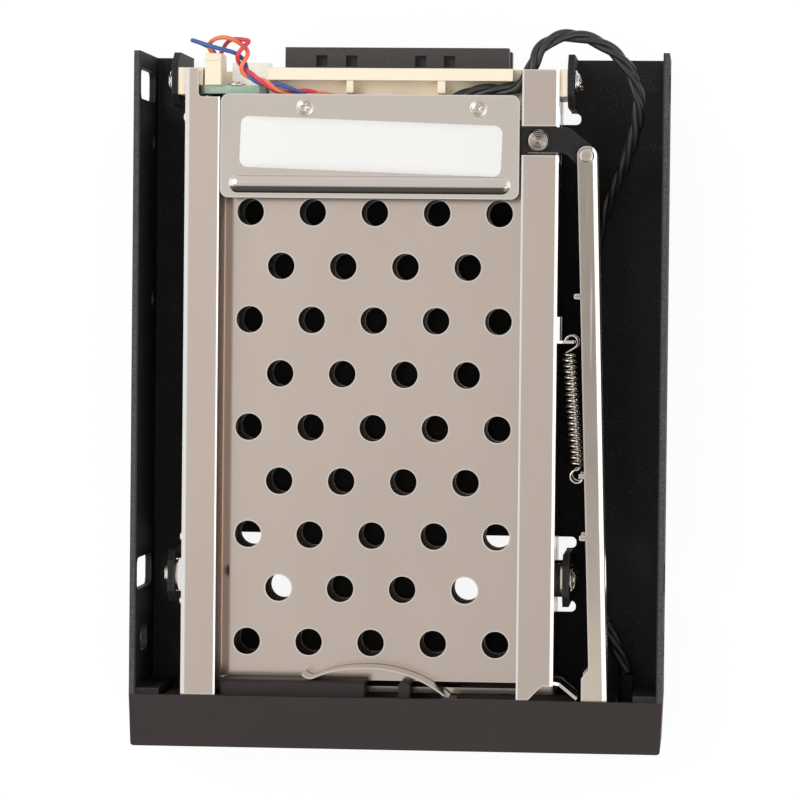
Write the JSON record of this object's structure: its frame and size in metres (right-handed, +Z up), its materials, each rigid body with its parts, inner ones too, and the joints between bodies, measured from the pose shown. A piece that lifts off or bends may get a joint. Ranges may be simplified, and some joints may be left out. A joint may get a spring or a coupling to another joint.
{
  "type": "hot swap drive cage",
  "caption": "Trayless steel rack that slides into a wide drive bay and takes stacked small drives behind hinged doors with eject levers.",
  "frame": {"origin": "centre of the rack's footprint, on the underside of the steel base", "axes": "+X to the right seen from above with the doors nearest, +Y from the doors to the rear ports, +Z up through the stacked bays"},
  "size_m": [0.1016, 0.1374, 0.0254],
  "materials": {
    "black_steel": "matt black powder coat",
    "stainless": "satin stainless",
    "bright_steel": "bright plated steel",
    "spring_steel": "bright drawn wire and strip",
    "dark_screw": "black zinc screw",
    "ivory_plastic": "ivory moulding",
    "port_plastic": "black connector plastic",
    "black_plastic": "fine-grained black moulding",
    "green_board": "green circuit board",
    "clear_plastic": "clear light guide",
    "black_wire": "twisted black wires",
    "colour_wire": "twisted red, orange and blue wires"
  },
  "bodies": {
    "rack": {"outer_frame": "black_steel", "connector_cover": "bright_steel", "cover_screws": "bright_steel", "connector_bracket": "ivory_plastic", "backplane_board": "green_board", "board_screws": "bright_steel", "led_header": "ivory_plastic", "led_plug": "ivory_plastic", "power_header": "ivory_plastic", "loom_plug": "ivory_plastic", "led_joint_plug": "ivory_plastic", "front_plug": "port_plastic", "cage_screws": "bright_steel", "front_bezel": "black_plastic", "door_hinge_pin": "bright_steel", "front_board": "port_plastic", "power_switches": "black_plastic", "power_loom": "black_wire", "led_wires": "colour_wire", "drive_cage_lower": "stainless", "sata_port_lower": "port_plastic", "drive_socket_lower": "port_plastic", "lever_rivet_lower": "bright_steel", "return_spring_lower": "spring_steel", "light_guide_lower": "clear_plastic", "drive_cage_upper": "stainless", "sata_port_upper": "port_plastic", "drive_socket_upper": "port_plastic", "lever_rivet_upper": "bright_steel", "return_spring_upper": "spring_steel", "light_guide_upper": "clear_plastic"},
    "door_lower_body": {"door_lower": "black_plastic", "leaf_spring_lower": "spring_steel"},
    "latch_lower_body": {"door_latch_lower": "black_plastic"},
    "bar_lower_body": {"eject_bar_lower": "bright_steel"},
    "lever_lower_body": {"eject_lever_lower": "black_steel", "link_pin_lower": "bright_steel"},
    "button_lower_body": {"power_button_lower": "black_plastic"},
    "door_upper_body": {"door_upper": "black_plastic", "leaf_spring_upper": "spring_steel"},
    "latch_upper_body": {"door_latch_upper": "black_plastic"},
    "bar_upper_body": {"eject_bar_upper": "bright_steel"},
    "lever_upper_body": {"eject_lever_upper": "black_steel", "link_pin_upper": "bright_steel"},
    "button_upper_body": {"power_button_upper": "black_plastic"}
  },
  "joints": [
    {"name": "door_lower_hinge", "type": "hinge", "parent": "rack", "child": "door_lower_body", "pos_m": [0.0352, -0.061, 0.0066], "axis": [0, 0, 1], "range_deg": [0, 90]},
    {"name": "latch_lower_slide", "type": "slide", "parent": "door_lower_body", "child": "latch_lower_body", "axis": [1, 0, 0], "range_m": [0, 0.0025], "stiffness_N_per_m": 200},
    {"name": "bar_lower_slide", "type": "slide", "parent": "rack", "child": "bar_lower_body", "axis": [0, 1, 0], "range_m": [0, 0.0055], "deforming": ["return_spring_lower"]},
    {"name": "lever_lower_hinge", "type": "hinge", "parent": "rack", "child": "lever_lower_body", "pos_m": [0.0261, 0.04905, 0.01125], "axis": [0, 0, 1], "range_deg": [0, 33]},
    {"name": "button_lower_press", "type": "slide", "parent": "rack", "child": "button_lower_body", "axis": [0, 1, 0], "range_m": [0, 0.001], "stiffness_N_per_m": 500},
    {"name": "door_upper_hinge", "type": "hinge", "parent": "rack", "child": "door_upper_body", "pos_m": [0.0352, -0.061, 0.0182], "axis": [0, 0, 1], "range_deg": [0, 90]},
    {"name": "latch_upper_slide", "type": "slide", "parent": "door_upper_body", "child": "latch_upper_body", "axis": [1, 0, 0], "range_m": [0, 0.0025], "stiffness_N_per_m": 200},
    {"name": "bar_upper_slide", "type": "slide", "parent": "rack", "child": "bar_upper_body", "axis": [0, 1, 0], "range_m": [0, 0.0055], "deforming": ["return_spring_upper"]},
    {"name": "lever_upper_hinge", "type": "hinge", "parent": "rack", "child": "lever_upper_body", "pos_m": [0.0261, 0.04905, 0.02285], "axis": [0, 0, 1], "range_deg": [0, 33]},
    {"name": "button_upper_press", "type": "slide", "parent": "rack", "child": "button_upper_body", "axis": [0, 1, 0], "range_m": [0, 0.001], "stiffness_N_per_m": 500}
  ],
  "couplings": [
    {"joint": "bar_lower_slide", "follows": "door_lower_hinge", "m_per_rad": 0.0035014},
    {"joint": "lever_lower_hinge", "follows": "door_lower_hinge", "ratio": 0.36645},
    {"joint": "bar_upper_slide", "follows": "door_upper_hinge", "m_per_rad": 0.0035014},
    {"joint": "lever_upper_hinge", "follows": "door_upper_hinge", "ratio": 0.36645}
  ]
}
